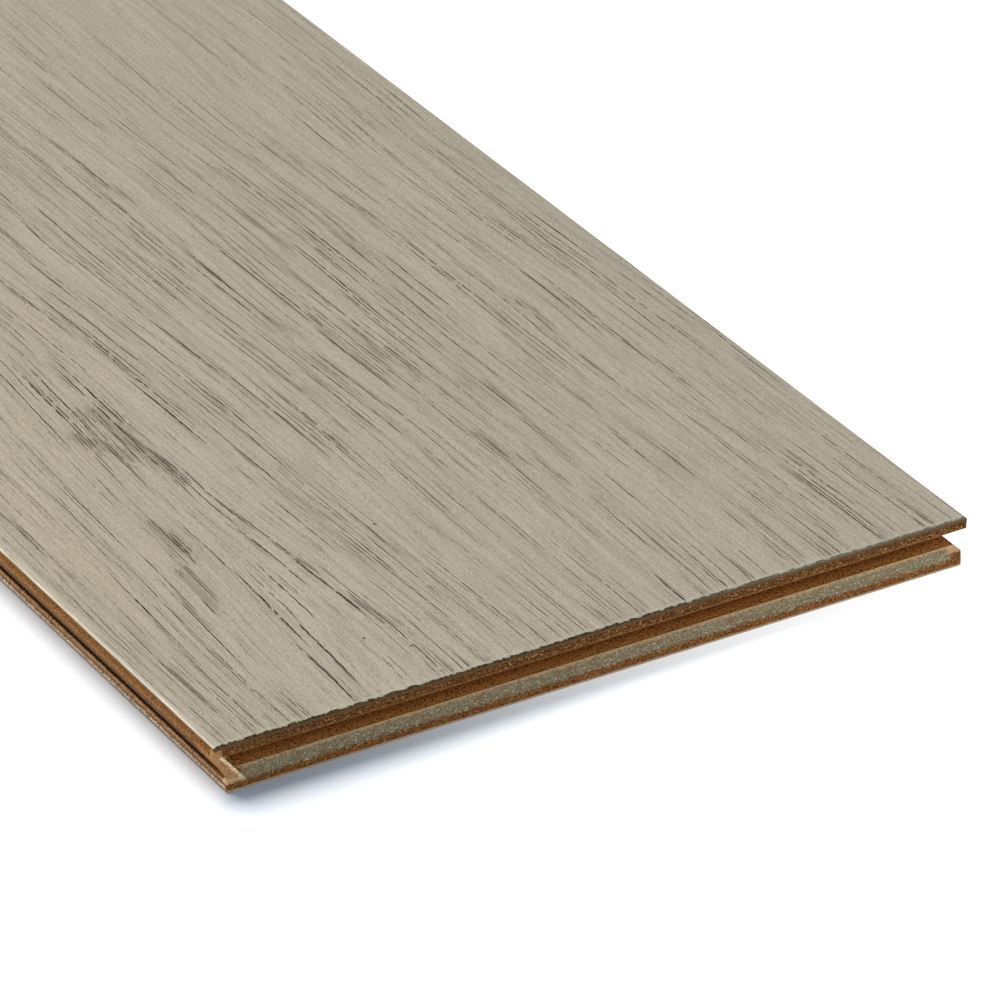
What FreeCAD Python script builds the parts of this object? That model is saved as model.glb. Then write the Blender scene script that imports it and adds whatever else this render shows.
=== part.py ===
import FreeCAD, Part
import Sketcher
import math
import os

# Wide plank floorboard, millimetres.
# X runs across the board, with the slotted long side at minus X and the
# grooved long side at plus X. Y runs along it, with the grooved short end
# at minus Y. Z is up from the underside, and the origin is on the underside
# below the middle of the face.

SIZES = {
    # The board as a whole.
    "face_width": 190,  # width of the face
    "face_length": 1220,  # length of the face
    "board_thickness": 12,  # veneer, core and backing together
    "veneer_thickness": 1,  # face veneer
    "backing_thickness": 0.5,  # balancing layer under the core
    "micro_bevel": 0.5,  # eased arris round the face

    # Groove under the top lip, the same on the near end and the far long side.
    "lip_underside": 9.05,  # height of the underside of the top lip
    "groove_depth": 6.35,  # joint plane to the deepest point of the groove
    "groove_foot_depth": 4.85,  # joint plane to the foot of the slanted back wall

    # Lower lip of the far long side.
    "side_floor": 6,  # height of the groove floor
    "side_lip_flat": 3.5,  # joint plane to the outer edge of the groove floor
    "side_lip_recess": 1.25,  # joint plane to the front of the lower lip
    "side_lip_front": 3.8,  # height of the front of the lower lip

    # Lower lip of the near end.
    "end_floor": 5.75,  # height of the groove floor
    "end_lip_front": 1.9,  # height where the relieved face begins
    "end_lip_relief": 0.3,  # how far the top of the lower lip stands back

    # Corner web, where the end groove runs out short of the slotted long side.
    "web_top": 2.1,  # width of the web at the underside of the veneer
    "web_foot": 7.6,  # width of the web at its foot
    "web_foot_height": 2.2,  # height of the foot of the web
    "web_recess": 0.5,  # how far the web stands back from the end

    # Slotted long side.
    "skirt_recess": 2.8,  # joint plane to the skirt below the undercut
    "slot_top": 3.95,  # height of the top of the slot
    "slot_bottom": 2.75,  # height of the bottom of the slot
    "slot_score": 0.5,  # depth of the slot in the last stretch to the end
    "slot_depth": 3,  # full depth of the slot
    "slot_stop": 11,  # near end to where the slot reaches its full depth

    # Tongue on the far end, to enter the end groove of the next board.
    "tongue_fit": 0.1,  # clearance above and below the tongue
    "tongue_tip": 0.35,  # clearance in front of the tongue
    "tongue_web_gap": 1.4,  # clearance beside the web of the next board
    "tongue_nose": 0.6,  # bevel of the nose of the tongue
}

doc = FreeCAD.newDocument("floorboard")
sizes = doc.addObject("Spreadsheet::Sheet", "Sizes")
for row, (alias, number) in enumerate(SIZES.items(), 1):
    sizes.set("A%d" % row, alias)
    sizes.set("B%d" % row, str(number))
    sizes.setAlias("B%d" % row, alias)
doc.recompute()


def plane(body, role):
    for feature in body.Origin.OriginFeatures:
        if feature.Role == role:
            return feature
    raise ValueError("no plane " + role)


def outline(body, name, role, corners, offset=None):
    """Closed outline whose corners are held by the sheet."""
    sketch = body.newObject("Sketcher::SketchObject", name)
    sketch.AttachmentSupport = [(plane(body, role), "")]
    sketch.MapMode = "FlatFace"
    if offset:
        sketch.setExpression("AttachmentOffset.Base.z", offset)
    count = len(corners)
    start = []
    for index in range(count):
        turn = -2 * math.pi * index / count
        start.append(FreeCAD.Vector(100 * math.cos(turn), 100 * math.sin(turn), 0))
    for index in range(count):
        sketch.addGeometry(Part.LineSegment(start[index], start[(index + 1) % count]))
    for index in range(count):
        after = (index + 1) % count
        sketch.addConstraint(Sketcher.Constraint("Coincident", index, 2, after, 1))
    for index in range(count):
        across, up = corners[index]
        held = sketch.addConstraint(
            Sketcher.Constraint("DistanceX", -1, 1, index, 1, start[index].x))
        sketch.setExpression("Constraints[%d]" % held, across)
        held = sketch.addConstraint(
            Sketcher.Constraint("DistanceY", -1, 1, index, 1, start[index].y))
        sketch.setExpression("Constraints[%d]" % held, up)
    return sketch


def pad(body, name, sketch, length, midplane=False, reverse=False):
    feature = body.newObject("PartDesign::Pad", name)
    feature.Profile = sketch
    feature.setExpression("Length", length)
    feature.Midplane = midplane
    feature.Reversed = reverse
    doc.recompute()
    return feature


def pocket(body, name, sketch, length, midplane=False, reverse=False):
    feature = body.newObject("PartDesign::Pocket", name)
    feature.Profile = sketch
    feature.setExpression("Length", length)
    feature.Midplane = midplane
    feature.Reversed = reverse
    before = body.Shape.Volume
    doc.recompute()
    if body.Shape.Volume >= before:
        raise ValueError(name + " removes nothing")
    return feature


LEFT = "-Sizes.face_width / 2"
RIGHT = "Sizes.face_width / 2"
NEAR = "-Sizes.face_length / 2"
FAR = "Sizes.face_length / 2"
CORE_TOP = "Sizes.board_thickness - Sizes.veneer_thickness"
CORE_FOOT = "Sizes.backing_thickness"
SKIRT = LEFT + " + Sizes.skirt_recess"
SIDE_LIP = RIGHT + " - Sizes.side_lip_recess"

# High density fibreboard core. Its long section is one outline, with both
# long sides milled, and the short ends are milled after it.
core = doc.addObject("PartDesign::Body", "hdf_core")
core.Label = "hdf_core"
section = outline(core, "core_section", "XZ_Plane", [
    (LEFT, CORE_TOP),
    (RIGHT, CORE_TOP),
    (RIGHT, "Sizes.lip_underside"),
    (RIGHT + " - Sizes.groove_depth", "Sizes.lip_underside"),
    (RIGHT + " - Sizes.groove_foot_depth", "Sizes.side_floor"),
    (RIGHT + " - Sizes.side_lip_flat", "Sizes.side_floor"),
    (SIDE_LIP, "Sizes.side_lip_front"),
    (SIDE_LIP, CORE_FOOT),
    (SKIRT, CORE_FOOT),
    (SKIRT, "Sizes.slot_bottom"),
    (SKIRT + " + Sizes.slot_score", "Sizes.slot_bottom"),
    (SKIRT + " + Sizes.slot_score", "Sizes.slot_top"),
    (SKIRT, "Sizes.slot_top"),
    (LEFT, "Sizes.lip_underside"),
])
pad(core, "core_length", section, "Sizes.face_length", midplane=True)

# The slot reaches its full depth a little way in from the near end. The
# pocket starts at the far end and stops short of the near one.
slot = outline(core, "slot_section", "XZ_Plane", [
    (SKIRT, "Sizes.slot_bottom"),
    (SKIRT, "Sizes.slot_top"),
    (SKIRT + " + Sizes.slot_depth", "Sizes.slot_top"),
    (SKIRT + " + Sizes.slot_depth", "Sizes.slot_bottom"),
], offset="-Sizes.face_length / 2")
pocket(core, "slot", slot, "Sizes.face_length - Sizes.slot_stop", reverse=True)

# Groove and relieved lower lip of the near end, milled right across.
end_groove = outline(core, "end_groove_section", "YZ_Plane", [
    (NEAR + " - 1", "Sizes.lip_underside"),
    (NEAR + " + Sizes.groove_depth", "Sizes.lip_underside"),
    (NEAR + " + Sizes.groove_foot_depth", "Sizes.end_floor"),
    (NEAR + " + Sizes.end_lip_relief", "Sizes.end_floor"),
    (NEAR, "Sizes.end_lip_front"),
    (NEAR + " - 1", "Sizes.end_lip_front"),
])
pocket(core, "end_groove", end_groove, "Sizes.face_width + 2", midplane=True)

# The corner web closes the end groove beside the slotted long side. It
# stands a little behind the end, and its inner edge leans.
web = outline(core, "web_outline", "XZ_Plane", [
    (LEFT, CORE_TOP),
    (LEFT + " + Sizes.web_top", CORE_TOP),
    (LEFT + " + Sizes.web_foot", "Sizes.web_foot_height"),
    (SKIRT, "Sizes.web_foot_height"),
    (SKIRT, "Sizes.slot_bottom"),
    (SKIRT + " + Sizes.slot_score", "Sizes.slot_bottom"),
    (SKIRT + " + Sizes.slot_score", "Sizes.slot_top"),
    (SKIRT, "Sizes.slot_top"),
    (LEFT, "Sizes.lip_underside"),
], offset="Sizes.face_length / 2")
pad(core, "web", web, "Sizes.groove_depth", reverse=True)
web_face = outline(core, "web_face", "XZ_Plane", [
    (LEFT + " - 1", CORE_TOP),
    (LEFT + " + Sizes.web_top", CORE_TOP),
    (LEFT + " + Sizes.web_foot", "Sizes.web_foot_height"),
    (LEFT + " - 1", "Sizes.web_foot_height"),
], offset="Sizes.face_length / 2")
pocket(core, "web_recess", web_face, "Sizes.web_recess")

# Tongue of the far end.
TONGUE_TOP = "Sizes.lip_underside - Sizes.tongue_fit"
TONGUE_FOOT = "Sizes.end_floor + Sizes.tongue_fit"
TONGUE_TIP = FAR + " + Sizes.groove_foot_depth - Sizes.tongue_tip"
tongue = outline(core, "tongue_section", "YZ_Plane", [
    (FAR + " - 1", TONGUE_TOP),
    (TONGUE_TIP + " - Sizes.tongue_nose", TONGUE_TOP),
    (TONGUE_TIP, TONGUE_TOP + " - Sizes.tongue_nose"),
    (TONGUE_TIP, TONGUE_FOOT + " + Sizes.tongue_nose"),
    (TONGUE_TIP + " - Sizes.tongue_nose", TONGUE_FOOT),
    (FAR + " - 1", TONGUE_FOOT),
], offset=LEFT + " + Sizes.web_foot + Sizes.tongue_web_gap")
pad(core, "tongue", tongue,
    "Sizes.face_width - Sizes.web_foot - Sizes.tongue_web_gap - Sizes.groove_depth")

# Face veneer, with its eased arris.
veneer = doc.addObject("PartDesign::Body", "face_veneer")
veneer.Label = "face_veneer"
face = outline(veneer, "veneer_outline", "XY_Plane", [
    (LEFT, NEAR),
    (RIGHT, NEAR),
    (RIGHT, FAR),
    (LEFT, FAR),
], offset=CORE_TOP)
sheet = pad(veneer, "veneer_sheet", face, "Sizes.veneer_thickness")
arrises = []
for index, edge in enumerate(sheet.Shape.Edges):
    ends = [corner.Z for corner in edge.Vertexes]
    if min(ends) > SIZES["board_thickness"] - 0.01:
        arrises.append("Edge%d" % (index + 1))
easing = veneer.newObject("PartDesign::Chamfer", "eased_arris")
easing.Base = (sheet, arrises)
easing.setExpression("Size", "Sizes.micro_bevel")
doc.recompute()

# Balancing layer on the underside.
backing = doc.addObject("PartDesign::Body", "backing_layer")
backing.Label = "backing_layer"
under = outline(backing, "backing_outline", "XY_Plane", [
    (SKIRT, NEAR),
    (SIDE_LIP, NEAR),
    (SIDE_LIP, FAR),
    (SKIRT, FAR),
])
pad(backing, "backing_sheet", under, "Sizes.backing_thickness")

doc.recompute()
os.makedirs("parts", exist_ok=True)
for item in doc.Objects:
    if "Invalid" in item.State or "Error" in item.State:
        raise ValueError(item.Name + " did not build")
for body in (core, veneer, backing):
    if body.Shape.isNull() or not body.Shape.isValid():
        raise ValueError(body.Label + " is not a valid solid")
    if len(body.Shape.Solids) != 1:
        raise ValueError(body.Label + " is not one solid")
    body.Shape.exportStep(os.path.join("parts", body.Label + ".step"))
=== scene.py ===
"""Wide plank floorboard: a brushed wood face on a milled fibreboard core over a balancing layer.

Metres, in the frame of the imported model: X across the board, Y along it with the grooved short end
at -Y, and Z up from the underside.
"""

import math

import bmesh
import bpy
import numpy as np
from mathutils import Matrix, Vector


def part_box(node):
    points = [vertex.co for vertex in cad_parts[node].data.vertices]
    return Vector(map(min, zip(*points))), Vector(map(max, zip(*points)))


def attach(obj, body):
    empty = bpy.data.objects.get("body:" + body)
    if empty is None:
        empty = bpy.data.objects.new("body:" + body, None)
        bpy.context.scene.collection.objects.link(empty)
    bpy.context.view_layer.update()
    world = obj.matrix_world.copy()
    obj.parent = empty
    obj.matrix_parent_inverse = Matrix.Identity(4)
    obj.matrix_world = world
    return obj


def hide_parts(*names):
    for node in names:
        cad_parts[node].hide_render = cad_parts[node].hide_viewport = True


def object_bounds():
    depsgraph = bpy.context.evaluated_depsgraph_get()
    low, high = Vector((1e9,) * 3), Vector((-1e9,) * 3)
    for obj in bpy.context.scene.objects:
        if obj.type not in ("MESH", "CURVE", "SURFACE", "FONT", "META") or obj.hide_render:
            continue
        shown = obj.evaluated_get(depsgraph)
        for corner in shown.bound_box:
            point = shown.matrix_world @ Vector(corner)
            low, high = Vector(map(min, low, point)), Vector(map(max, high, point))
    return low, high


bl_info = {
    "name": "Wide plank floorboard",
    "version": (1, 0, 0),
    "blender": (4, 5, 0),
    "location": "View3D > Sidebar > Floorboard",
    "description": "Dresses a veneered fibreboard floorboard and sets up its stage",
    "category": "Object",
}

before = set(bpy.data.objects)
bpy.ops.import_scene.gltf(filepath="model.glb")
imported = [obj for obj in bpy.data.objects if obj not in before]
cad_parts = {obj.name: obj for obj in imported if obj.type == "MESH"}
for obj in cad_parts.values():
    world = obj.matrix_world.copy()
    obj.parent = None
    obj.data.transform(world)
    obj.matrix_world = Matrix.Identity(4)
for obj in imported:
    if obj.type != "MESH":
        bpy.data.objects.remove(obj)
CAD_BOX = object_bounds()
MM = 0.001

FACE_LOW, FACE_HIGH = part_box("face_veneer")
BACK_LOW, BACK_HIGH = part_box("backing_layer")

# These and all places and sizes that a material reads are in millimetres
HALF_WIDTH = FACE_HIGH[0] / MM
NEAR_END = FACE_LOW[1] / MM
FACE_TOP = FACE_HIGH[2] / MM
CORE_TOP = FACE_LOW[2] / MM
CORE_FOOT = BACK_HIGH[2] / MM

# Heights of the milled section above the underside
LIP_UNDERSIDE = 9.05
END_FLOOR = 5.75
END_LIP_FRONT = 1.9
SIDE_LIP_FRONT = 3.8
SLOT_TOP = 3.95
SLOT_BOTTOM = 2.75
WEB_FOOT_HEIGHT = 2.2

# Where the skirt and the inner edge of the corner web stand across the board
SKIRT = 2.8 - HALF_WIDTH
WEB_TOP = 2.1 - HALF_WIDTH
WEB_FOOT = 7.6 - HALF_WIDTH


def linear(code):
    """An sRGB hex colour as the linear RGBA that a socket takes."""
    values = [int(code[i : i + 2], 16) / 255 for i in (0, 2, 4)]
    return tuple(v / 12.92 if v <= 0.04045 else ((v + 0.055) / 1.055) ** 2.4 for v in values) + (1.0,)


def add(tree, kind, links=None, **settings):
    """Adds one node. Each link gives an input a socket to follow or a value to hold."""
    made = tree.nodes.new(kind)
    for name, value in settings.items():
        setattr(made, name, value)
    for name, value in (links or {}).items():
        if isinstance(value, bpy.types.NodeSocket):
            tree.links.new(value, made.inputs[name])
        else:
            made.inputs[name].default_value = value
    return made


def fresh_material(name):
    """An empty material with its shader: returns the material, its tree and the shader."""
    material = bpy.data.materials.new(name)
    material.use_nodes = True
    tree = material.node_tree
    tree.nodes.clear()
    shader = add(tree, "ShaderNodeBsdfPrincipled")
    add(tree, "ShaderNodeOutputMaterial", {"Surface": shader.outputs[0]})
    return material, tree, shader


def cut_noise(tree, place, cell, low, high, detail=2.0, seed=0.0):
    """Noise with cells of a size in millimetres, 0 below one level and 1 above the other."""
    scaled = add(
        tree,
        "ShaderNodeMapping",
        {"Vector": place, "Location": (seed, seed * 0.37, seed * 0.71), "Scale": [1 / c for c in cell]},
    )
    noise = add(
        tree, "ShaderNodeTexNoise", {"Vector": scaled.outputs[0], "Scale": 1.0, "Detail": detail}
    ).outputs[0]
    return region(tree, [(noise, low, high)])


def product(tree, factors):
    """The product of several factors, each a socket or a number."""
    total = factors[0]
    for factor in factors[1:]:
        total = add(tree, "ShaderNodeMath", {0: factor, 1: total}, operation="MULTIPLY").outputs[0]
    return total


def region(tree, steps, masks=()):
    """How far a point is inside every step, times the masks.

    A step is a value with its outer limit, where it gives 0, and its inner one, where it gives 1.
    """
    inside = [
        add(
            tree,
            "ShaderNodeMapRange",
            {"Value": value, "From Min": outer, "From Max": inner},
            interpolation_type="SMOOTHSTEP",
        ).outputs[0]
        for value, outer, inner in steps
    ]
    return product(tree, [*inside, *masks])


def laid_over(tree, base, layers):
    """A colour with others laid over it in turn: each has its tint, its strength and its masks."""
    colour = base
    for tint, strength, *masks in layers:
        cover = product(tree, [strength, *masks])
        colour = add(tree, "ShaderNodeMix", {0: cover, 6: colour, 7: tint}, data_type="RGBA").outputs[2]
    return colour


def in_millimetres(tree):
    """The object's own coordinates in millimetres: the vector and its three parts."""
    place = add(tree, "ShaderNodeTexCoord").outputs["Object"]
    scaled = add(tree, "ShaderNodeMapping", {"Vector": place, "Scale": (1 / MM,) * 3}).outputs[0]
    parts = add(tree, "ShaderNodeSeparateXYZ", {0: scaled}).outputs
    return scaled, parts[0], parts[1], parts[2]


def feed(tree, shader, sockets):
    """Links a socket to each named input of a shader."""
    for name, value in sockets.items():
        tree.links.new(value, shader.inputs[name])


# Face veneer

# The mesh is finer from the near end to where the figure of the wood ends
COLUMNS = 440
FIGURE_END = -380.0
NEAR_ROW_PITCH = 4.0
FAR_ROW_PITCH = 8.0
# Distances of the last rows from the eased short edge
END_ROWS = np.array([0.0, 0.7, 1.5, 2.6, 4.0, 6.0, 8.5, 12.0])

# Numbers of the veneer's finishes on the mesh
FACE, END_ARRIS, SIDE_ARRIS, RAW_EDGE = range(4)
SMOOTH_ANGLE = math.radians(30)

# The arch of the figure: its middle, how far it spreads the grain, and how wide it reaches
ARCH_MIDDLE = -49
ARCH_SPREAD = 10
ARCH_CROWN = 16
ARCH_REACH = 45
# How much longer than wide a streak fades out
STREAK_FADE = 2.5

# Pinholes in the face, about 0.8 mm across, as x and y
DOTS = [(-19, -545.6), (-45.6, -587), (-38.4, -595)]

# Where the figure is strong, as x and y along each streak, its half width and its strength
FIGURE = [
    ([(-48.3, -470), (-47.6, -482), (-46.2, -500)], 3.3, 1.0),
    ([(-57.5, -478), (-54, -483), (-51, -490)], 2.8, 1.0),
    ([(-48.5, -434), (-48, -466)], 2.6, 0.26),
    ([(-45.8, -500), (-44.2, -513), (-42.5, -533), (-41.7, -557), (-38.5, -573)], 0.7, 0.38),
    ([(-39.5, -572), (-37.2, -584)], 1.7, 0.9),
    ([(-37, -583), (-35.8, -608)], 0.9, 0.61),
    ([(-57, -488), (-59.2, -503), (-60, -520)], 1.2, 0.54),
    ([(-61.2, -521), (-60.8, -534)], 2.4, 1.0),
    ([(-61.5, -534), (-64, -543)], 1.1, 0.54),
    ([(-66.2, -543), (-66.4, -558)], 2.0, 1.0),
    ([(-38, -402), (-35, -422), (-33, -446), (-31, -476), (-30, -490), (-28.4, -516)], 0.9, 0.57),
    ([(-28.2, -520), (-28, -560), (-28, -608)], 0.9, 0.57),
    ([(-92, -508), (-92, -560), (-91.5, -606)], 0.9, 0.48),
    ([(-88, -500), (-86.5, -540), (-87.5, -596)], 0.9, 0.59),
    ([(-79, -480), (-78, -520), (-81, -560), (-82, -606)], 0.9, 0.51),
    ([(-73.5, -500), (-74.5, -545), (-76.5, -575), (-77, -592)], 1.0, 0.58),
    ([(-70, -470), (-71.5, -500)], 0.9, 0.44),
    ([(-26, -386), (-26.3, -414), (-25.5, -442)], 0.9, 0.52),
    ([(-25, -450), (-23.5, -492), (-22.5, -530)], 0.9, 0.44),
    ([(-21.5, -540), (-20.8, -560), (-20, -606)], 0.9, 0.57),
    ([(-15.5, -400), (-14.5, -440), (-13, -480), (-12, -520)], 0.9, 0.41),
    ([(-8, -560), (-6.5, -590), (-6, -607)], 0.9, 0.58),
    ([(7.4, -350), (8, -400), (7.2, -440), (7, -492)], 0.9, 0.59),
    ([(7, -500), (7.5, -540), (7, -570), (8, -606)], 0.9, 0.55),
    ([(14.5, -340), (15.3, -390), (15, -450)], 0.9, 0.52),
    ([(15.6, -460), (16.4, -530), (15, -545)], 0.9, 0.44),
    ([(13.6, -556), (13.2, -580), (13, -607)], 0.9, 0.57),
    ([(20.6, -520), (20.3, -560), (20.8, -606)], 0.9, 0.57),
    ([(30, -560), (31, -590), (33, -607)], 0.9, 0.48),
    ([(34, -460), (33, -500), (34.5, -545)], 0.9, 0.48),
    ([(42, -506), (42.5, -530), (42, -552)], 1.0, 0.53),
    ([(43, -400), (42, -440), (40, -468)], 0.9, 0.44),
    ([(51, -484), (50, -519), (47, -558)], 0.9, 0.54),
    ([(38, -463), (38.5, -482), (37, -496), (34, -529)], 0.9, 0.55),
    ([(22.3, -463), (21.3, -481)], 1.6, 0.85),
    ([(24.8, -478), (23.4, -493)], 1.4, 0.80),
    ([(62.5, -474), (61.3, -491)], 1.5, 0.80),
    ([(21.6, -522), (23.4, -538)], 1.3, 0.75),
    ([(27.8, -535), (27, -550)], 1.4, 0.80),
    ([(54, -560), (54.5, -606)], 0.9, 0.44),
    ([(60, -576), (60.3, -608)], 0.9, 0.57),
    ([(68, -420), (68.2, -450), (67.6, -512)], 1.0, 0.61),
    ([(66.5, -540), (67, -600)], 0.9, 0.48),
    ([(77, -540), (78, -606)], 0.9, 0.44),
    ([(84, -560), (86, -606)], 0.9, 0.48),
    ([(78, -330), (78.5, -400), (79, -450)], 0.9, 0.44),
    ([(70, -300), (71, -350)], 0.9, 0.44),
    ([(24, -290), (25, -340), (24, -372)], 0.9, 0.44),
]


def streak_strength(x, y):
    """How strongly the open pores gather at a point, from 0 to 1, by the figure's streaks."""
    strength = np.zeros_like(x)
    for path, half_width, peak in FIGURE:
        near = np.full_like(x, 1e9)
        for (ax, ay), (bx, by) in zip(path, path[1:]):
            run = np.array([bx - ax, by - ay])
            along = ((x - ax) * run[0] + (y - ay) * run[1]) / (run[0] ** 2 + run[1] ** 2)
            along = np.clip(along, 0, 1)
            across = np.abs(x - ax - along * run[0])
            past = np.abs(y - ay - along * run[1]) / STREAK_FADE
            near = np.minimum(near, np.hypot(across, past))
        strength = np.maximum(strength, peak * np.exp(-((near / half_width) ** 2)))
    return strength


def grain_across(x, y):
    """The distance across the grain, which spreads round the arch of the figure towards the near end."""
    opening = np.clip((FIGURE_END - y) / (FIGURE_END - NEAR_END), 0, 1)
    opening = opening * opening * (3 - 2 * opening)
    from_arch = x - ARCH_MIDDLE
    fade = np.exp(-((from_arch / ARCH_REACH) ** 2))
    spread = ARCH_SPREAD * np.tanh(from_arch / ARCH_CROWN) * fade
    # Two slow waves let the grain wander by a millimetre or so
    wander = 0.9 * np.sin(y / 61 + x / 37) + 0.5 * np.sin(y / 23 + x / 15 + 1.3)
    return x - opening * spread + wander


def veneer_blank(arris):
    """The veneer sheet with its top edges eased: a closed mesh, dense across the grain."""
    x0, y0, z0 = FACE_LOW
    x1, y1, z1 = FACE_HIGH
    xs = np.concatenate([[x0], np.linspace(x0 + arris, x1 - arris, COLUMNS), [x1]])
    from_near = y0 + arris + END_ROWS * MM
    from_far = y1 - arris - END_ROWS * MM
    stops = (from_near[-1], FIGURE_END * MM, from_far[-1])
    near, far = (
        np.linspace(low, high, int((high - low) / (pitch * MM)) + 1)
        for low, high, pitch in zip(stops, stops[1:], (NEAR_ROW_PITCH, FAR_ROW_PITCH))
    )
    ys = np.concatenate([[y0], from_near[:-1], near, far[1:], from_far[-2::-1], [y1]])
    nx, ny = len(xs), len(ys)
    gx, gy = np.meshgrid(xs, ys)
    gz = np.full_like(gx, z1)
    gz[0], gz[-1], gz[:, 0], gz[:, -1] = (z1 - arris,) * 4
    top = np.stack([gx, gy, gz], axis=-1).reshape(-1, 3)
    number = np.arange(nx * ny).reshape(ny, nx)
    ring = np.concatenate([number[0, :], number[1:, -1], number[-1, -2::-1], number[-2:0:-1, 0]])
    foot = top[ring].copy()
    foot[:, 2] = z0
    foot_number = nx * ny + np.arange(len(ring))
    cells = np.stack([number[:-1, :-1], number[:-1, 1:], number[1:, 1:], number[1:, :-1]], axis=-1)
    finish = np.full(cells.shape[:2], FACE)
    finish[:, 0] = finish[:, -1] = SIDE_ARRIS
    finish[0] = finish[-1] = END_ARRIS
    faces = [tuple(c) for c in cells.reshape(-1, 4)]
    finishes = list(finish.ravel())
    for i in range(len(ring)):
        j = (i + 1) % len(ring)
        faces.append((ring[j], ring[i], foot_number[i], foot_number[j]))
    faces.append(tuple(foot_number[::-1]))
    finishes += [RAW_EDGE] * (len(ring) + 1)
    points = np.concatenate([top, foot])
    mesh = bpy.data.meshes.new("veneer_blank")
    mesh.from_pydata(points.tolist(), [], [tuple(int(v) for v in f) for f in faces])
    arris_row = np.zeros((ny, nx))
    arris_row[1, 1:-1] = 1
    arris_row[-2, 1:-1] = -1
    open_face = np.zeros((ny, nx))
    open_face[1:-1, 1:-1] = 1
    spare = np.zeros(len(ring))
    fields = {
        "grain_across": grain_across(points[:, 0] / MM, points[:, 1] / MM),
        "pore_strength": streak_strength(points[:, 0] / MM, points[:, 1] / MM),
        "end_arris": np.concatenate([arris_row.ravel(), spare]),
        "open_face": np.concatenate([open_face.ravel(), spare]),
    }
    for name, values in fields.items():
        mesh.attributes.new(name, "FLOAT", "POINT").data.foreach_set("value", values.astype(np.float32))
    finishes = np.array(finishes, dtype=np.int32)
    mesh.attributes.new("finish", "INT", "FACE").data.foreach_set("value", finishes)
    mesh.validate()
    return mesh


def brushing_tree(materials):
    """Geometry Nodes that wire brush the face and leave the planer's chatter along its short edges."""
    tree = bpy.data.node_groups.new("wire_brushing", "GeometryNodeTree")
    sides = tree.interface
    sides.new_socket("Geometry", in_out="INPUT", socket_type="NodeSocketGeometry")
    for name in ("Depth", "Streak width", "Streak length", "Chatter", "Chatter pitch", "Seed"):
        sides.new_socket(name, in_out="INPUT", socket_type="NodeSocketFloat")
    sides.new_socket("Geometry", in_out="OUTPUT", socket_type="NodeSocketGeometry")
    given = add(tree, "NodeGroupInput").outputs
    position = add(tree, "GeometryNodeInputPosition").outputs[0]
    place = add(tree, "ShaderNodeSeparateXYZ", {0: position}).outputs
    named = {
        name: add(tree, "GeometryNodeInputNamedAttribute", {"Name": name}, data_type=kind).outputs[0]
        for name, kind in (
            ("grain_across", "FLOAT"), ("end_arris", "FLOAT"), ("open_face", "FLOAT"), ("finish", "INT")
        )
    }
    in_metres = product(tree, [named["grain_across"], MM])
    across, along, pitch = (
        add(tree, "ShaderNodeMath", {0: length, 1: given[unit]}, operation="DIVIDE").outputs[0]
        for length, unit in (
            (in_metres, "Streak width"), (place[1], "Streak length"), (place[0], "Chatter pitch")
        )
    )
    streak_cell = add(tree, "ShaderNodeCombineXYZ", {0: across, 1: along}).outputs[0]
    bite_cell = add(tree, "ShaderNodeCombineXYZ", {0: pitch}).outputs[0]
    worn = []
    for cell, low, high in ((streak_cell, 0.42, 0.68), (bite_cell, 0.38, 0.64)):
        noise = add(
            tree,
            "ShaderNodeTexNoise",
            {"Vector": cell, "W": given["Seed"], "Scale": 1.0, "Detail": 2.0},
            noise_dimensions="4D",
        ).outputs[0]
        levels = {"Value": noise, "From Min": low, "From Max": high}
        worn.append(add(tree, "ShaderNodeMapRange", levels).outputs[0])
    sunk = product(tree, [worn[0], given["Depth"], named["open_face"], -1.0])
    bitten = product(tree, [worn[1], given["Chatter"], named["end_arris"]])
    offset = add(tree, "ShaderNodeCombineXYZ", {1: bitten, 2: sunk}).outputs[0]
    shaped = add(
        tree, "GeometryNodeSetPosition", {"Geometry": given["Geometry"], "Offset": offset}
    ).outputs[0]
    result = add(tree, "GeometryNodeRealizeInstances", {0: shaped}).outputs[0]
    for number, material in enumerate(materials):
        chosen = add(
            tree,
            "FunctionNodeCompare",
            {2: named["finish"], 3: number},
            data_type="INT",
            operation="EQUAL",
        ).outputs[0]
        result = add(
            tree,
            "GeometryNodeSetMaterial",
            {"Geometry": result, "Selection": chosen, "Material": material},
        ).outputs[0]
    add(tree, "NodeGroupOutput", {0: result})
    return tree


def plain_result(blank, tree, values):
    """The plain mesh that a Geometry Nodes tree makes of a blank mesh."""
    worker = bpy.data.objects.new("worker", blank)
    bpy.context.collection.objects.link(worker)
    modifier = worker.modifiers.new("nodes", "NODES")
    modifier.node_group = tree
    for item in tree.interface.items_tree:
        if item.item_type == "SOCKET" and item.in_out == "INPUT" and item.name in values:
            modifier[item.identifier] = float(values[item.name])
    shown = worker.evaluated_get(bpy.context.evaluated_depsgraph_get())
    mesh = bpy.data.meshes.new_from_object(shown)
    worker.modifiers.remove(modifier)
    bpy.data.objects.remove(worker)
    return mesh


def pore_lines(tree, grain, cell, reach, seed):
    """Spindles along the grain, one to a cell of a size in millimetres: 1 inside and 0 past the edge.

    Reach is their half size as a share of the cell, and each spindle takes its own share of that.
    """
    scaled = add(
        tree,
        "ShaderNodeMapping",
        {"Vector": grain, "Location": (seed, seed * 0.37, 0), "Scale": (1 / cell[0], 1 / cell[1], 1)},
    )
    cells = add(
        tree,
        "ShaderNodeTexVoronoi",
        {"Vector": scaled.outputs[0], "Scale": 1.0, "Exponent": 5.0},
        voronoi_dimensions="2D",
        distance="MINKOWSKI",
    ).outputs
    share = add(tree, "ShaderNodeMapRange", {"Value": cells["Color"], "To Min": 0.5, "To Max": 1.1})
    edge = product(tree, [share.outputs[0], reach])
    middle = product(tree, [edge, 0.55])
    return region(tree, [(cells["Distance"], edge, middle)])


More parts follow.
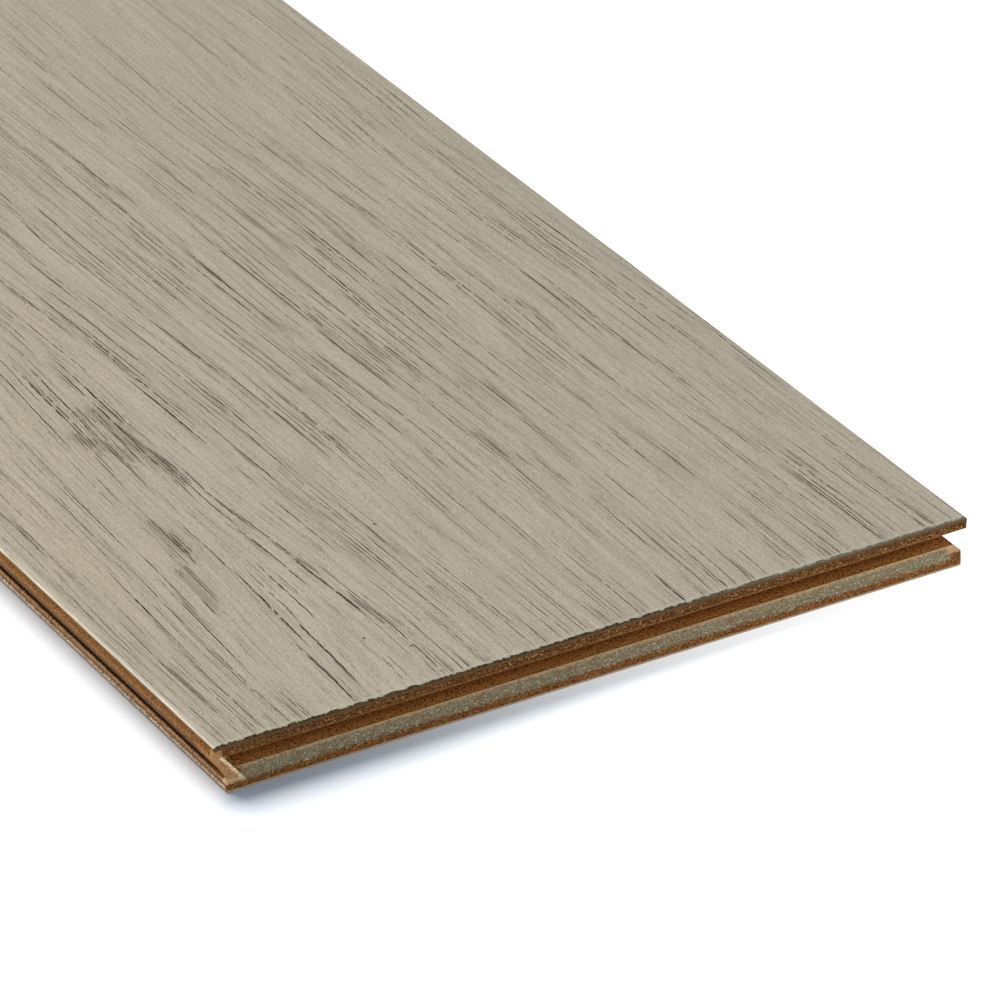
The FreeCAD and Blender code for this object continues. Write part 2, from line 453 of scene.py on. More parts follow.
def stained_veneer(look):
    """Flat-sawn hardwood veneer, wire brushed, stained greige and matt lacquered.

    Brushing opens the pores, where the stain gathers, so they show as thin dark streaks in a pale face.
    The lacquer is dull, so the face has only a broad soft sheen.
    """
    material, tree, shader = fresh_material("brushed_stained_hardwood_veneer")
    place, x, y, _ = in_millimetres(tree)
    across = add(tree, "ShaderNodeAttribute", attribute_name="grain_across").outputs["Fac"]
    strength = add(tree, "ShaderNodeAttribute", attribute_name="pore_strength").outputs["Fac"]
    straight = add(tree, "ShaderNodeCombineXYZ", {0: across, 1: y}).outputs[0]
    # The grain sways by up to half a millimetre, slowly and with a finer shake
    sway = across
    for cell, reach in (((5, 34, 1), 0.45), ((0.6, 2.5, 1), 0.12)):
        wave = product(tree, [cut_noise(tree, straight, cell, 0.25, 0.75, seed=77), reach])
        sway = add(tree, "ShaderNodeMath", {0: wave, 1: sway}, operation="ADD").outputs[0]
    grain = add(tree, "ShaderNodeCombineXYZ", {0: sway, 1: y}).outputs[0]
    # Blotches of the stain are 25 to 40 mm wide and about four times as long
    warm = cut_noise(tree, grain, (38, 150, 1), 0.40, 0.66, seed=3)
    cool = cut_noise(tree, grain, (26, 95, 1), 0.44, 0.70, seed=11)
    # Growth rings gather the pores in rows about 3 mm wide and 170 mm long
    rows = cut_noise(tree, grain, (2.6, 170, 1), 0.41, 0.59, seed=5)
    figured = region(tree, [(strength, 0.12, 0.48)])
    dense = region(tree, [(strength, 0.60, 0.88)])
    # Pores are 0.1 to 0.3 mm wide, and they run together into lines 10 to 60 mm long
    wide = add(tree, "ShaderNodeMapRange", {"Value": rows, "To Min": 0.055, "To Max": 0.21}).outputs[0]
    thin = add(tree, "ShaderNodeMapRange", {"Value": rows, "To Min": 0.10, "To Max": 0.20}).outputs[0]
    crowd = product(tree, [figured, 0.24])
    packed = product(tree, [dense, 0.27])
    open_pores = pore_lines(tree, grain, (0.85, 130), wide, seed=17)
    long_pores = pore_lines(tree, grain, (1.5, 240), 0.10, seed=31)
    fine_pores = pore_lines(tree, grain, (0.5, 60), thin, seed=29)
    row_pores = pore_lines(tree, grain, (0.56, 60), crowd, seed=43)
    packed_pores = pore_lines(tree, grain, (0.52, 30), packed, seed=47)
    # Lines break up along their length, and they stop just short of the near end
    unbroken = cut_noise(tree, grain, (0.7, 3.4, 1), 0.68, 0.52, seed=67)
    kept = region(tree, [(y, NEAR_END + 0.6, NEAR_END + 1.5)], [unbroken])
    # From about 200 to 550 mm from the near end the stain took less strongly
    faint = region(tree, [(y, NEAR_END + 190, NEAR_END + 350), (y, NEAR_END + 560, NEAR_END + 400)])
    drawn = add(tree, "ShaderNodeMapRange", {"Value": faint, "To Min": 1.0, "To Max": 0.26}).outputs[0]
    dashes = cut_noise(tree, grain, (0.52, 26, 1), 0.60, 0.69, seed=97)
    silk = cut_noise(tree, grain, (2.2, 60, 1), 0.40, 0.66, detail=2, seed=61)
    # Fibres and sanding grit are about 0.1 mm, too fine to show, so they are drawn at 0.3 mm and more
    fibres = cut_noise(tree, grain, (0.36, 20, 1), 0.40, 0.62, detail=3, seed=53)
    pale_grit = cut_noise(tree, place, (0.30, 0.42, 0.4), 0.46, 0.64, detail=1, seed=7)
    dark_grit = cut_noise(tree, place, (0.32, 1.4, 0.4), 0.50, 0.66, detail=1, seed=83)
    # Painted highlights: the face is painted paler within about 2 mm of its eased near end and of its left
    # long edge, where the rounded edge catches the light
    face_end_highlight = region(tree, [(y, NEAR_END + 2.2, NEAR_END + 0.8)])
    face_side_highlight = region(tree, [(x, 2.5 - HALF_WIDTH, 0.5 - HALF_WIDTH)])
    colour = laid_over(
        tree,
        linear("A99D8A"),
        [
            (linear("AC9B88"), 0.40, warm),
            (linear("9B9280"), 0.40, cool),
            (linear("968C7A"), 0.25, silk),
            (linear("857C69"), 0.48, fibres),
            (linear("CABFAD"), 0.38, pale_grit),
            (linear("7C7362"), 0.36, dark_grit),
            (linear("857E6A"), 0.08, rows),
            (linear("3A3422"), 0.60, dashes, rows, drawn),
            (linear("625E4C"), 0.10, figured),
            (linear("5A5745"), 0.30, dense),
            (linear("463E2C"), 0.58, fine_pores, kept, drawn),
            (linear("261E10"), 0.78, long_pores, kept, drawn),
            (linear("1B150B"), 0.92, open_pores, kept, drawn),
            (linear("16110A"), 0.80, row_pores, kept),
            (linear("24200F"), 0.85, packed_pores, kept),
            # Painted highlights along the eased near end and the left long edge
            (linear("B4AE9D"), 0.30, face_end_highlight),
            (linear("D8CFBE"), 0.22, face_side_highlight),
        ],
    )
    for spot in DOTS:
        away = add(
            tree, "ShaderNodeVectorMath", {0: place, 1: (*spot, FACE_TOP)}, operation="DISTANCE"
        ).outputs["Value"]
        pinhole = region(tree, [(away, 0.55, 0.25)])
        colour = laid_over(tree, colour, [(linear("2B2618"), 0.75, pinhole)])
    height = laid_over(
        tree,
        (0.7, 0.7, 0.7, 1.0),
        [
            ((0.55, 0.55, 0.55, 1.0), 0.5, fibres),
            ((0.85, 0.85, 0.85, 1.0), 0.7, pale_grit),
            ((0.3, 0.3, 0.3, 1.0), 0.5, fine_pores),
            ((0.0, 0.0, 0.0, 1.0), 0.9, long_pores),
            ((0.0, 0.0, 0.0, 1.0), 1.0, open_pores),
            ((0.0, 0.0, 0.0, 1.0), 1.0, row_pores),
            ((0.0, 0.0, 0.0, 1.0), 1.0, packed_pores),
        ],
    )
    bump = add(tree, "ShaderNodeBump", {"Height": height, "Strength": 0.5, "Distance": 0.12 * MM})
    # The lacquer does not reach into the pores, so they are dull
    sheen = {"Value": height, "From Max": 0.7}
    rough = add(tree, "ShaderNodeMapRange", {**sheen, "To Min": 0.9, "To Max": look.face_roughness})
    gloss = add(tree, "ShaderNodeMapRange", {**sheen, "To Min": 0.02, "To Max": 0.35})
    feed(tree, shader, {
        "Base Color": colour,
        "Roughness": rough.outputs[0],
        "Specular IOR Level": gloss.outputs[0],
        "Normal": bump.outputs[0],
    })
    shader.inputs["IOR"].default_value = 1.48
    return material


def edge_veneer(name, base, light, dark, grain_size, top=None):
    """Bare edge of the veneer, stained or sealed: end grain and cut fibres give it short flecks.

    The flecks are drawn at about 0.5 mm, coarser than the real fibres, so that they show. Where a top
    colour is given, the stain of the face comes a little way down over the edge, unevenly.
    """
    material, tree, shader = fresh_material(name)
    place, x, y, z = in_millimetres(tree)
    pale = cut_noise(tree, place, grain_size, 0.50, 0.68, detail=2, seed=9)
    deep = cut_noise(tree, place, grain_size, 0.48, 0.64, detail=2, seed=23)
    colour = laid_over(tree, base, [(light, 0.7, pale), (dark, 0.7, deep)])
    if top:
        ragged = cut_noise(tree, place, (1.3, 1.3, 9.0), 0.36, 0.64, detail=2, seed=57)
        drip = add(tree, "ShaderNodeMapRange", {"Value": ragged, "To Min": -0.14, "To Max": 0.09})
        height = add(tree, "ShaderNodeMath", {0: z, 1: drip.outputs[0]}, operation="ADD").outputs[0]
        stained = region(tree, [(height, FACE_TOP - 0.18, FACE_TOP - 0.08)])
        grooved_half = region(tree, [(x, 0.0, 60.0)])
        colour = laid_over(tree, colour, [(top, 0.9, stained), (linear("8A8974"), 0.34, grooved_half)])
    at_end = region(tree, [(y, NEAR_END + 0.3, NEAR_END + 0.1), (z, FACE_TOP - 0.3, FACE_TOP - 0.5)])
    colour = laid_over(tree, colour, [(dark, 0.55, at_end)])
    relief = {"Height": deep, "Strength": 0.5, "Distance": 0.06 * MM}
    bump = add(tree, "ShaderNodeBump", relief, invert=True)
    rough = add(tree, "ShaderNodeMapRange", {"Value": pale, "To Min": 0.62, "To Max": 0.8})
    feed(tree, shader, {
        "Base Color": colour,
        "Roughness": rough.outputs[0],
        "Normal": bump.outputs[0],
    })
    shader.inputs["Specular IOR Level"].default_value = 0.1
    return material


# Core and backing

# Faces that meet at less than the flat angle are one, and edges past the sharp angle are eased
FLAT_ANGLE = math.radians(0.5)
SHARP_ANGLE = math.radians(15)
BACKING_ARRIS = 0.08 * MM


def merged_copy(node, name, arris):
    """A copy of a node's mesh with its triangles merged, its flat faces whole and its edges eased."""
    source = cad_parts[node]
    work = bmesh.new()
    work.from_mesh(source.data)
    work.transform(source.matrix_world)
    bmesh.ops.remove_doubles(work, verts=work.verts[:], dist=1e-6)
    bmesh.ops.dissolve_limit(work, angle_limit=FLAT_ANGLE, verts=work.verts[:], edges=work.edges[:])
    sharp = [e for e in work.edges if e.is_manifold and e.calc_face_angle() > SHARP_ANGLE]
    bmesh.ops.bevel(
        work, geom=sharp, offset=arris, segments=1, affect="EDGES", offset_type="OFFSET",
        clamp_overlap=True,
    )
    bmesh.ops.remove_doubles(work, verts=work.verts[:], dist=1e-7)
    mesh = bpy.data.meshes.new(name)
    work.to_mesh(mesh)
    work.free()
    return mesh


def finished_piece(name, mesh, node):
    """A piece in place: it rides on the board and stands for its node, which is hidden."""
    piece = bpy.data.objects.new(name, mesh)
    bpy.context.collection.objects.link(piece)
    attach(piece, "root")
    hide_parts(node)


def milled_fibreboard(look):
    """High-density fibreboard, milled and left raw but for a wax seal on the locking lip.

    The cutter leaves fine fibres standing, so faces are speckled and arrises catch the light;
    the wax turns the lip's front grey-green. The light on the arrises is painted in as pale lines,
    and the shade in the slot, on the undercut and along the lips is painted in as darker colour.
    """
    material, tree, shader = fresh_material("milled_high_density_fibreboard")
    place, x, y, z = in_millimetres(tree)
    # Fibre bundles lie flat, so flecks are wider than high. They are 0.1 to 0.2 mm thick, too fine to
    # show, so the flecks are drawn at 0.3 mm and more
    ragged = cut_noise(tree, place, (0.7, 0.7, 0.5), 0.30, 0.70, detail=3, seed=2)
    shake = add(tree, "ShaderNodeMapRange", {"Value": ragged, "To Min": -0.45, "To Max": 0.45})
    height = add(tree, "ShaderNodeMath", {0: z, 1: shake.outputs[0]}, operation="ADD").outputs[0]
    dark_fleck = cut_noise(tree, place, (0.55, 0.55, 0.34), 0.50, 0.59, detail=3, seed=13)
    pale_fleck = cut_noise(tree, place, (0.50, 0.50, 0.30), 0.55, 0.64, detail=3, seed=31)
    red_cloud = cut_noise(tree, place, (5.0, 5.0, 1.2), 0.42, 0.64, detail=2, seed=37)
    layers = cut_noise(tree, place, (9.0, 9.0, 0.22), 0.44, 0.66, detail=1, seed=43)
    at_end = (y, NEAR_END + 2.2, NEAR_END + 1.4)
    lip_front = (y, NEAR_END + 0.55, NEAR_END + 0.38)
    below_floor = (z, END_FLOOR + 0.2, END_FLOOR - 0.6)
    deep_in = region(tree, [
        (y, NEAR_END + 0.5, NEAR_END + 0.7),
        (y, NEAR_END + 9.0, NEAR_END + 8.0),
        (z, END_FLOOR - 0.2, END_FLOOR - 0.05),
        (z, LIP_UNDERSIDE + 0.2, LIP_UNDERSIDE - 0.2),
    ])
    waxed = region(tree, [
        lip_front,
        (height, END_LIP_FRONT + 0.05, END_LIP_FRONT + 0.65),
        (height, END_FLOOR + 0.1, END_FLOOR - 0.5),
        (x, HALF_WIDTH - 3.0, HALF_WIDTH - 5.5),
        (x, WEB_FOOT - 2.0, WEB_FOOT),
    ])
    over_groove = (z, LIP_UNDERSIDE - 0.45, LIP_UNDERSIDE - 0.15)
    # Painted highlights: pale lines along the arrises of the groove's upper and lower lips, where standing
    # fibres catch the light
    lip_arris_highlight = region(tree, [
        lip_front,
        (z, LIP_UNDERSIDE + 0.6, LIP_UNDERSIDE + 0.2),
        over_groove,
    ])
    lower_arris_highlight = region(tree, [
        lip_front,
        (height, END_FLOOR - 0.8, END_FLOOR - 0.1),
        (z, END_FLOOR + 0.45, END_FLOOR + 0.15),
    ])
    foot = region(tree, [lip_front, (height, END_LIP_FRONT + 0.5, END_LIP_FRONT - 0.1)])
    right_tan = region(tree, [
        at_end,
        below_floor,
        (x, HALF_WIDTH - 5.6, HALF_WIDTH - 4.4),
        (z, SIDE_LIP_FRONT - 0.4, SIDE_LIP_FRONT + 0.3),
    ])
    line = add(tree, "ShaderNodeMapRange", {
        "Value": z, "From Min": WEB_FOOT_HEIGHT, "From Max": LIP_UNDERSIDE,
        "To Min": WEB_FOOT, "To Max": WEB_TOP,
    }).outputs[0]
    inside_web = add(tree, "ShaderNodeMath", {0: line, 1: x}, operation="SUBTRACT").outputs[0]
    web = region(tree, [
        at_end,
        (inside_web, -0.1, 0.1),
        (z, WEB_FOOT_HEIGHT - 0.2, WEB_FOOT_HEIGHT),
    ])
    # Painted highlights: a cream rim along the web's slanted edge and a pale sill along its foot, where
    # these edges catch the light
    web_rim_highlight = region(tree, [(inside_web, 1.05, 0.7), (z, LIP_UNDERSIDE, LIP_UNDERSIDE - 0.6)], [web])
    web_sill_highlight = region(tree, [(z, WEB_FOOT_HEIGHT + 0.9, WEB_FOOT_HEIGHT + 0.5)], [web])
    undercut = region(tree, [
        (x, SKIRT + 0.5, SKIRT + 0.2),
        (z, LIP_UNDERSIDE + 0.1, LIP_UNDERSIDE - 0.3),
        (z, SLOT_TOP - 0.3, SLOT_TOP),
    ])
    # Painted shade: the undercut darkens towards the slot, in the shade of the lip above it
    undercut_shade = region(tree, [(z, SLOT_TOP + 3.2, SLOT_TOP + 0.2)], [undercut])
    left_lip = region(tree, [(x, 0.3 - HALF_WIDTH, 0.1 - HALF_WIDTH)])
    # Painted shade: the left lip is painted darker along its top, just under the veneer
    left_lip_top_shade = region(tree, [(z, CORE_TOP - 0.8, CORE_TOP - 0.3)], [left_lip])
    # Painted highlight along the lower arris of the left lip
    left_lip_foot_highlight = region(tree, [
        (z, LIP_UNDERSIDE + 0.65, LIP_UNDERSIDE + 0.25),
        (x, 0.6 - HALF_WIDTH, 0.3 - HALF_WIDTH),
        over_groove,
    ])
    skirt = region(tree, [(x, SKIRT + 0.3, SKIRT - 0.1), (z, SLOT_BOTTOM + 0.3, SLOT_BOTTOM - 0.1)])
    skirt_line = region(
        tree,
        [(height, CORE_FOOT + 0.75, CORE_FOOT + 0.5), (z, CORE_FOOT - 0.1, CORE_FOOT + 0.1)],
        [skirt],
    )
    skirt_shade = region(
        tree,
        [(z, SLOT_BOTTOM - 0.45, SLOT_BOTTOM - 0.9), (z, SLOT_BOTTOM - 1.45, SLOT_BOTTOM - 1.25)],
        [skirt],
    )
    # Painted shade: the slot's floor and inside are painted near black
    slot_shade = region(tree, [
        (x, SKIRT + 0.25, SKIRT + 0.55),
        (x, SKIRT + 4.2, SKIRT + 3.6),
        (y, NEAR_END + 0.6, NEAR_END + 9.0),
        (z, SLOT_BOTTOM - 0.12, SLOT_BOTTOM - 0.02),
        (z, SLOT_TOP + 0.12, SLOT_TOP + 0.02),
    ])
    lip_shade = region(tree, [lip_front, (z, LIP_UNDERSIDE - 0.1, LIP_UNDERSIDE + 0.1)])
    rust = cut_noise(tree, place, (3.2, 3.2, 0.9), 0.50, 0.62, detail=3, seed=91)
    colour = laid_over(
        tree,
        look.core_colour,
        [
            (linear("623414"), 0.45, red_cloud),
            (linear("472A12"), 0.35, layers),
            (linear("7E5228"), 0.9, left_lip),
            # Painted shade along the top of the left lip
            (linear("4E3418"), 0.45, left_lip_top_shade),
            # Painted highlight on the lower arris of the left lip
            (linear("C49A70"), 0.22, left_lip_foot_highlight),
            (linear("8C6137"), 0.9, undercut),
            # Painted shade on the undercut, deepening towards the slot
            (linear("3E2812"), 0.9, undercut_shade),
            (linear("A28464"), 0.9, skirt),
            (linear("4E3218"), 0.8, skirt_shade),
            (linear("C4B6A2"), 0.85, skirt_line),
            (linear("C08040"), 0.9, deep_in),
            (linear("4A2C10"), 0.45, lip_shade),
            (linear("7A4C24"), 0.9, foot),
            (linear("1E0F05"), 0.74, dark_fleck),
            (linear("B08350"), 0.55, pale_fleck),
            (look.wax_colour, 0.86, waxed),
            (linear("C0B394"), 0.76, waxed, pale_fleck),
            (linear("4A4430"), 0.6, waxed, dark_fleck),
            (linear("74502C"), 0.55, waxed, rust),
            (linear("B28F6C"), 0.8, right_tan),
            # Painted highlights on the arrises of the lips
            (linear("94683C"), 0.30, lip_arris_highlight),
            (linear("BB9668"), 0.62, lower_arris_highlight),
            (linear("AC8258"), 0.85, web),
            # Painted highlights on the web's rim and sill
            (linear("E8CDA6"), 0.85, web_rim_highlight),
            (linear("D4B892"), 0.6, web_sill_highlight),
            (linear("6E4A2A"), 0.5, web, dark_fleck),
            # Painted shade in the slot
            (linear("120701"), 0.95, slot_shade),
        ],
    )
    fuzz = add(tree, "ShaderNodeMath", {0: pale_fleck, 1: dark_fleck}, operation="SUBTRACT").outputs[0]
    bump = add(tree, "ShaderNodeBump", {"Height": fuzz, "Strength": 0.6, "Distance": 0.12 * MM})
    rough = add(tree, "ShaderNodeMapRange", {"Value": waxed, "To Min": 0.92, "To Max": 0.6})
    feed(tree, shader, {
        "Base Color": colour,
        "Roughness": rough.outputs[0],
        "Normal": bump.outputs[0],
    })
    shader.inputs["Specular IOR Level"].default_value = 0.08
    return material


def balancing_veneer(look):
    """Thin balancing veneer, sanded and unfinished.

    It is dull and brown, with short darker fibres along the board and a darker cut edge.
    """
    material, tree, shader = fresh_material("sanded_balancing_veneer")
    place, x, _, _ = in_millimetres(tree)
    # Fibres are too fine to show, so they are drawn 0.5 mm wide
    fibres = cut_noise(tree, place, (0.5, 16, 0.5), 0.40, 0.68, detail=3, seed=19)
    bands = cut_noise(tree, place, (9, 160, 1), 0.40, 0.66, detail=2, seed=27)
    flecks = cut_noise(tree, place, (0.5, 0.6, 0.4), 0.55, 0.70, detail=1, seed=33)
    side = BACK_LOW[0] / MM
    cut_side = region(tree, [(x, side + 0.3, side + 0.1)])
    colour = laid_over(
        tree,
        look.back_colour,
        [
            (linear("8E7558"), 0.35, bands),
            (linear("6F5A42"), 0.35, fibres),
            (linear("B5A88F"), 0.30, flecks),
            (linear("5E5040"), 0.75, cut_side),
        ],
    )
    relief = {"Height": fibres, "Strength": 0.4, "Distance": 0.05 * MM}
    bump = add(tree, "ShaderNodeBump", relief, invert=True)
    rough = add(tree, "ShaderNodeMapRange", {"Value": fibres, "To Min": 0.75, "To Max": 0.9})
    feed(tree, shader, {
        "Base Color": colour,
        "Roughness": rough.outputs[0],
        "Normal": bump.outputs[0],
    })
    return material


# Settings

class FaceSettings(bpy.types.PropertyGroup):
    relief: bpy.props.FloatProperty(
        name="Brushed relief", description="Depth that the wire brush leaves in the soft grain",
        default=0.06 * MM, min=0.0, max=0.3 * MM, unit="LENGTH", precision=6,
    )
    streak_width: bpy.props.FloatProperty(
        name="Streak width", description="Width of the brushed streaks", default=1.9 * MM, unit="LENGTH",
    )
    streak_length: bpy.props.FloatProperty(
        name="Streak length", description="Length of the brushed streaks", default=70 * MM, unit="LENGTH",
    )
    arris: bpy.props.FloatProperty(
        name="Eased edge", description="Width of the eased edge round the face", default=0.4 * MM,
        unit="LENGTH",
    )
    chatter: bpy.props.FloatProperty(
        name="Chatter", description="How far the cutter bites back into the short edges",
        default=0.5 * MM, unit="LENGTH",
    )
    chatter_pitch: bpy.props.FloatProperty(
        name="Chatter pitch", description="Spacing of the cutter's bites", default=2.4 * MM,
        unit="LENGTH",
    )
    seed: bpy.props.FloatProperty(
        name="Seed", description="Draws the streaks and bites anew", default=4.0,
    )
    face_roughness: bpy.props.FloatProperty(
        name="Lacquer roughness", description="Dullness of the lacquer", default=0.55, min=0.0, max=1.0,
        subtype="FACTOR",
    )
    end_arris_colour: bpy.props.FloatVectorProperty(
        name="End arris", description="Stain on the eased short edges", size=4, subtype="COLOR",
        default=linear("40351F"), min=0.0, max=1.0,
    )
    side_arris_colour: bpy.props.FloatVectorProperty(
        name="Side arris", description="Sealed wood on the eased long edges", size=4, subtype="COLOR",
        default=linear("B4AA99"), min=0.0, max=1.0,
    )


class CoreSettings(bpy.types.PropertyGroup):
    arris: bpy.props.FloatProperty(
        name="Milled arris", description="Width of the fuzzy arris left by the cutter", default=0.12 * MM,
        unit="LENGTH",
    )
    core_colour: bpy.props.FloatVectorProperty(
        name="Fibreboard", description="Colour of the raw fibreboard", size=4, subtype="COLOR",
        default=linear("6A4321"), min=0.0, max=1.0,
    )
    wax_colour: bpy.props.FloatVectorProperty(
        name="Wax", description="Colour of the waxed lip", size=4, subtype="COLOR",
        default=linear("7B735B"), min=0.0, max=1.0,
    )
    back_colour: bpy.props.FloatVectorProperty(
        name="Backing", description="Colour of the balancing layer", size=4, subtype="COLOR",
        default=linear("A08A6C"), min=0.0, max=1.0,
    )


class StageSettings(bpy.types.PropertyGroup):
    key_power: bpy.props.FloatProperty(
        name="Key light", description="Power of the large soft light behind", default=28.8, unit="POWER",
    )
    fill_power: bpy.props.FloatProperty(
        name="Fill light", description="Power of the soft light beside the near end", default=2.0,
        unit="POWER",
    )
    low_power: bpy.props.FloatProperty(
        name="Low light", description="Power of the low light that reaches into the grooves",
        default=12.0, unit="POWER",
    )
    floor_power: bpy.props.FloatProperty(
        name="Floor light", description="Strength of the wide soft light on the floor", default=3.5,
        min=0.0,
    )
    spot_power: bpy.props.FloatProperty(
        name="Floor spot", description="Power of the lamp that thins the shadow at the right",
        default=22.0, unit="POWER",
    )
    sky: bpy.props.FloatProperty(
        name="Sky", description="Strength of the even light", default=0.40, min=0.0,
    )
    floor_colour: bpy.props.FloatVectorProperty(
        name="Floor", description="Colour of the pale floor", size=4, subtype="COLOR",
        default=linear("F8F8F8"), min=0.0, max=1.0,
    )


# Stage

# Places and sizes are in metres, and tints are linear
FLOOR_REACH = 25.0
WARM = (1.0, 0.93, 0.85)
NEUTRAL = (1.0, 0.98, 0.95)
SKY_TINT = (0.56, 0.77, 1.0, 1.0)
SUN_ANGLE = math.radians(41)
SPOT_ANGLE = math.radians(36)
CAMERA_PLACE = Vector((-0.6889, -1.7186, 0.7863))
CAMERA_DIRECTION = Vector((0.4464, 0.7458, -0.4944))
# In millimetres, as a lens is sold
FOCAL_LENGTH = 254.03
SENSOR_WIDTH = 36.0

# Each lamp's name and kind, where it stands, what it faces, its size, its power setting, its tint and
# what it lights. The sun's size is an angle.
LAMPS = (
    ("key_softbox", "AREA", (-0.95, 0.05, 1.15), (0, -0.5, 0), 0.45, "key_power", WARM, "board"),
    ("fill_softbox", "AREA", (0.55, -1.05, 0.5), (0.1, -0.62, 0), 0.3, "fill_power", NEUTRAL, "board"),
    ("low_softbox", "AREA", (-0.55, -2.3, 0.42), (0, -0.61, 0), 0.9, "low_power", NEUTRAL, "board"),
    ("floor_sun", "SUN", (-0.19, 0.2, 1.18), (-0.02, -0.6, 0), SUN_ANGLE, "floor_power", NEUTRAL, "floor"),
    ("floor_spot", "SPOT", (0.32, -0.95, 0.55), (0.155, -0.6, 0), 0.03, "spot_power", NEUTRAL, "floor"),
)


class FLOORBOARD_OT_stage(bpy.types.Operator):
    """Sets up the pale floor, the soft lights and the camera"""

    bl_idname = "floorboard.stage"
    bl_label = "Make stage"

    def execute(self, context):
        look = context.scene.floorboard_stage
        scene = context.scene
        scene.view_settings.view_transform = "Standard"
        floor_mesh = bpy.data.meshes.new("studio_floor")
        corners = [
            (side * FLOOR_REACH, end * FLOOR_REACH, CAD_BOX[0][2])
            for side, end in ((-1, -1), (1, -1), (1, 1), (-1, 1))
        ]
        floor_mesh.from_pydata(corners, [], [(0, 1, 2, 3)])
        floor = bpy.data.objects.new("studio_floor", floor_mesh)
        context.collection.objects.link(floor)
        material, _, shader = fresh_material("matt_white_paper_floor")
        shader.inputs["Base Color"].default_value = look.floor_colour
        shader.inputs["Roughness"].default_value = 0.9
        shader.inputs["Specular IOR Level"].default_value = 0.0
        floor_mesh.materials.append(material)
        # The board has its own lights, so that its near end is bright above a dark shadow
        receivers = {}
        for lit, state in (("board", "EXCLUDE"), ("floor", "INCLUDE")):
            receivers[lit] = bpy.data.collections.new("lit_" + lit)
            receivers[lit].objects.link(floor)
            receivers[lit].collection_objects[0].light_linking.link_state = state
        for name, kind, place, aim, size, power, tint, lit in LAMPS:
            lamp = bpy.data.lights.new(name, kind)
            if kind == "AREA":
                lamp.shape = "SQUARE"
                lamp.size = size
            elif kind == "SUN":
                lamp.angle = size
            else:
                lamp.shadow_soft_size = size
                lamp.spot_size = SPOT_ANGLE
                lamp.spot_blend = 1.0
            lamp.energy = getattr(look, power)
            lamp.color = tint
            light = bpy.data.objects.new(name, lamp)
            context.collection.objects.link(light)
            light.location = place
            light.rotation_euler = (Vector(aim) - Vector(place)).to_track_quat("-Z", "Y").to_euler()
            light.light_linking.receiver_collection = receivers[lit]
        world = bpy.data.worlds.new("even_studio_light")
        world.use_nodes = True
        back = world.node_tree.nodes["Background"]
        back.inputs["Color"].default_value = SKY_TINT
        back.inputs["Strength"].default_value = look.sky
        scene.world = world
        lens = bpy.data.cameras.new("camera")
        lens.sensor_width = SENSOR_WIDTH
        lens.lens = FOCAL_LENGTH
        lens.clip_start = 0.05
        lens.clip_end = 30.0
        camera = bpy.data.objects.new("camera", lens)
        context.collection.objects.link(camera)
        camera.location = CAMERA_PLACE
        camera.rotation_euler = CAMERA_DIRECTION.to_track_quat("-Z", "Y").to_euler()
        scene.camera = camera
        return {"FINISHED"}


# Pieces

class FLOORBOARD_OT_face(bpy.types.Operator):
    """Makes the brushed and stained face veneer"""

    bl_idname = "floorboard.face"
    bl_label = "Make face veneer"

    def execute(self, context):
        look = context.scene.floorboard_face
        materials = [
            stained_veneer(look),
            edge_veneer(
                "stained_veneer_end_arris", look.end_arris_colour, linear("5E5238"), linear("1C170C"),
                (0.7, 0.7, 0.5), top=linear("9C917D"),
            ),
            edge_veneer(
                "sealed_veneer_side_arris", look.side_arris_colour, linear("D0C6B6"), linear("A39781"),
                (0.5, 9.0, 0.5),
            ),
            edge_veneer(
                "raw_veneer_edge", linear("6B4F30"), linear("8A6A44"), linear("3E2A14"), (0.5, 3.0, 0.35)
            ),
        ]
        values = {
            "Depth": look.relief,
            "Streak width": look.streak_width,
            "Streak length": look.streak_length,
            "Chatter": look.chatter,
            "Chatter pitch": look.chatter_pitch,
            "Seed": look.seed,
        }
        mesh = plain_result(veneer_blank(look.arris), brushing_tree(materials), values)
        mesh.name = "brushed_face_veneer"
        mesh.shade_smooth()
        mesh.set_sharp_from_angle(angle=SMOOTH_ANGLE)
        finished_piece("brushed_face_veneer", mesh, "face_veneer")
        return {"FINISHED"}


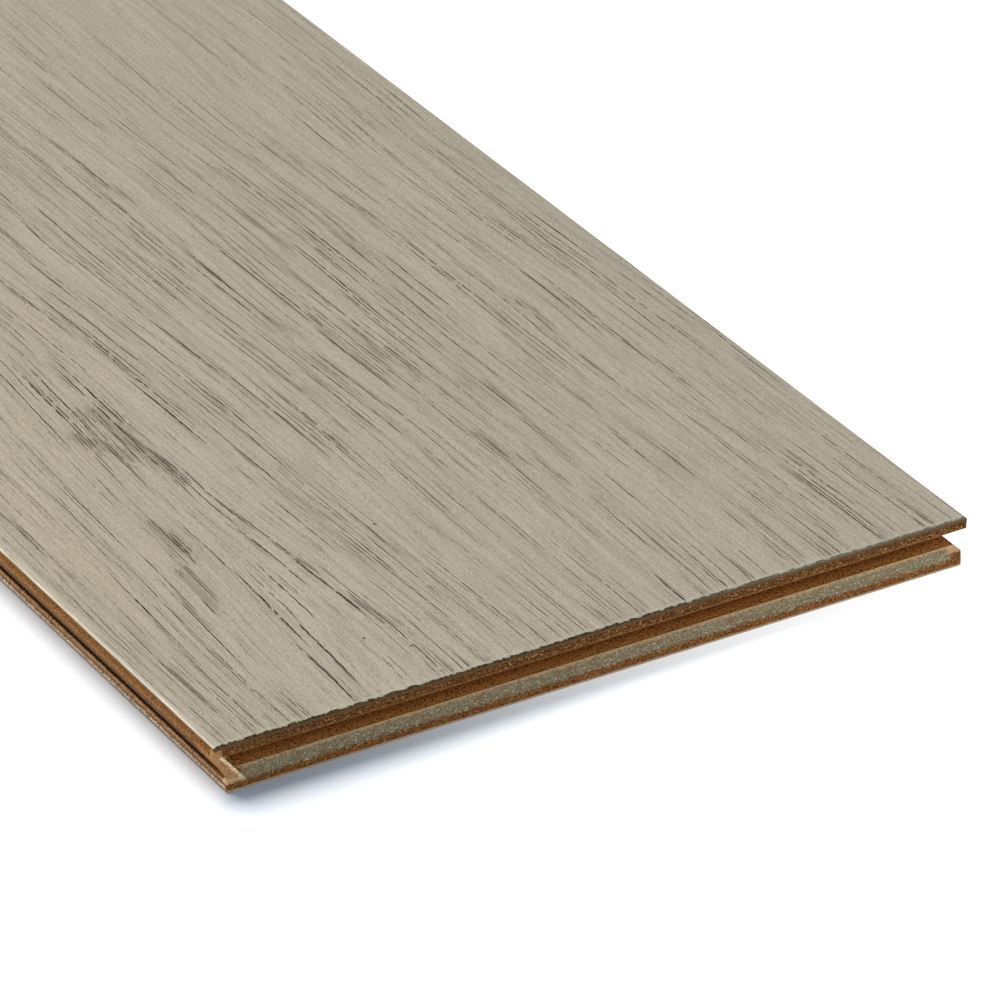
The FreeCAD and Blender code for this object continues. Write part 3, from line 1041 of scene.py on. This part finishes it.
class FLOORBOARD_OT_core(bpy.types.Operator):
    """Makes the milled fibreboard core with its grooves, slot and tongue"""

    bl_idname = "floorboard.core"
    bl_label = "Make core"

    def execute(self, context):
        look = context.scene.floorboard_core
        mesh = merged_copy("hdf_core", "milled_core", look.arris)
        mesh.materials.append(milled_fibreboard(look))
        finished_piece("milled_core", mesh, "hdf_core")
        return {"FINISHED"}


class FLOORBOARD_OT_backing(bpy.types.Operator):
    """Makes the thin balancing layer under the core"""

    bl_idname = "floorboard.backing"
    bl_label = "Make backing"

    def execute(self, context):
        look = context.scene.floorboard_core
        mesh = merged_copy("backing_layer", "balancing_layer", BACKING_ARRIS)
        mesh.materials.append(balancing_veneer(look))
        finished_piece("balancing_layer", mesh, "backing_layer")
        return {"FINISHED"}


class FLOORBOARD_PT_panel(bpy.types.Panel):
    """The floorboard's settings and the steps that make it"""

    bl_idname = "FLOORBOARD_PT_panel"
    bl_label = "Wide plank floorboard"
    bl_space_type = "VIEW_3D"
    bl_region_type = "UI"
    bl_category = "Floorboard"

    def draw(self, context):
        for settings, operators in (
            (context.scene.floorboard_stage, ("floorboard.stage",)),
            (context.scene.floorboard_face, ("floorboard.face",)),
            (context.scene.floorboard_core, ("floorboard.core", "floorboard.backing")),
        ):
            box = self.layout.box()
            for name in settings.bl_rna.properties.keys():
                if name not in ("rna_type", "name"):
                    box.prop(settings, name)
            for operator in operators:
                box.operator(operator)


CLASSES = (
    FaceSettings,
    CoreSettings,
    StageSettings,
    FLOORBOARD_OT_stage,
    FLOORBOARD_OT_face,
    FLOORBOARD_OT_core,
    FLOORBOARD_OT_backing,
    FLOORBOARD_PT_panel,
)


def register():
    for item in CLASSES:
        bpy.utils.register_class(item)
    bpy.types.Scene.floorboard_face = bpy.props.PointerProperty(type=FaceSettings)
    bpy.types.Scene.floorboard_core = bpy.props.PointerProperty(type=CoreSettings)
    bpy.types.Scene.floorboard_stage = bpy.props.PointerProperty(type=StageSettings)


def unregister():
    for name in ("floorboard_face", "floorboard_core", "floorboard_stage"):
        delattr(bpy.types.Scene, name)
    for item in reversed(CLASSES):
        bpy.utils.unregister_class(item)


def main():
    """Makes the stage and every piece."""
    register()
    bpy.ops.floorboard.stage()
    bpy.ops.floorboard.face()
    bpy.ops.floorboard.core()
    bpy.ops.floorboard.backing()


if __name__ == "__main__":
    main()
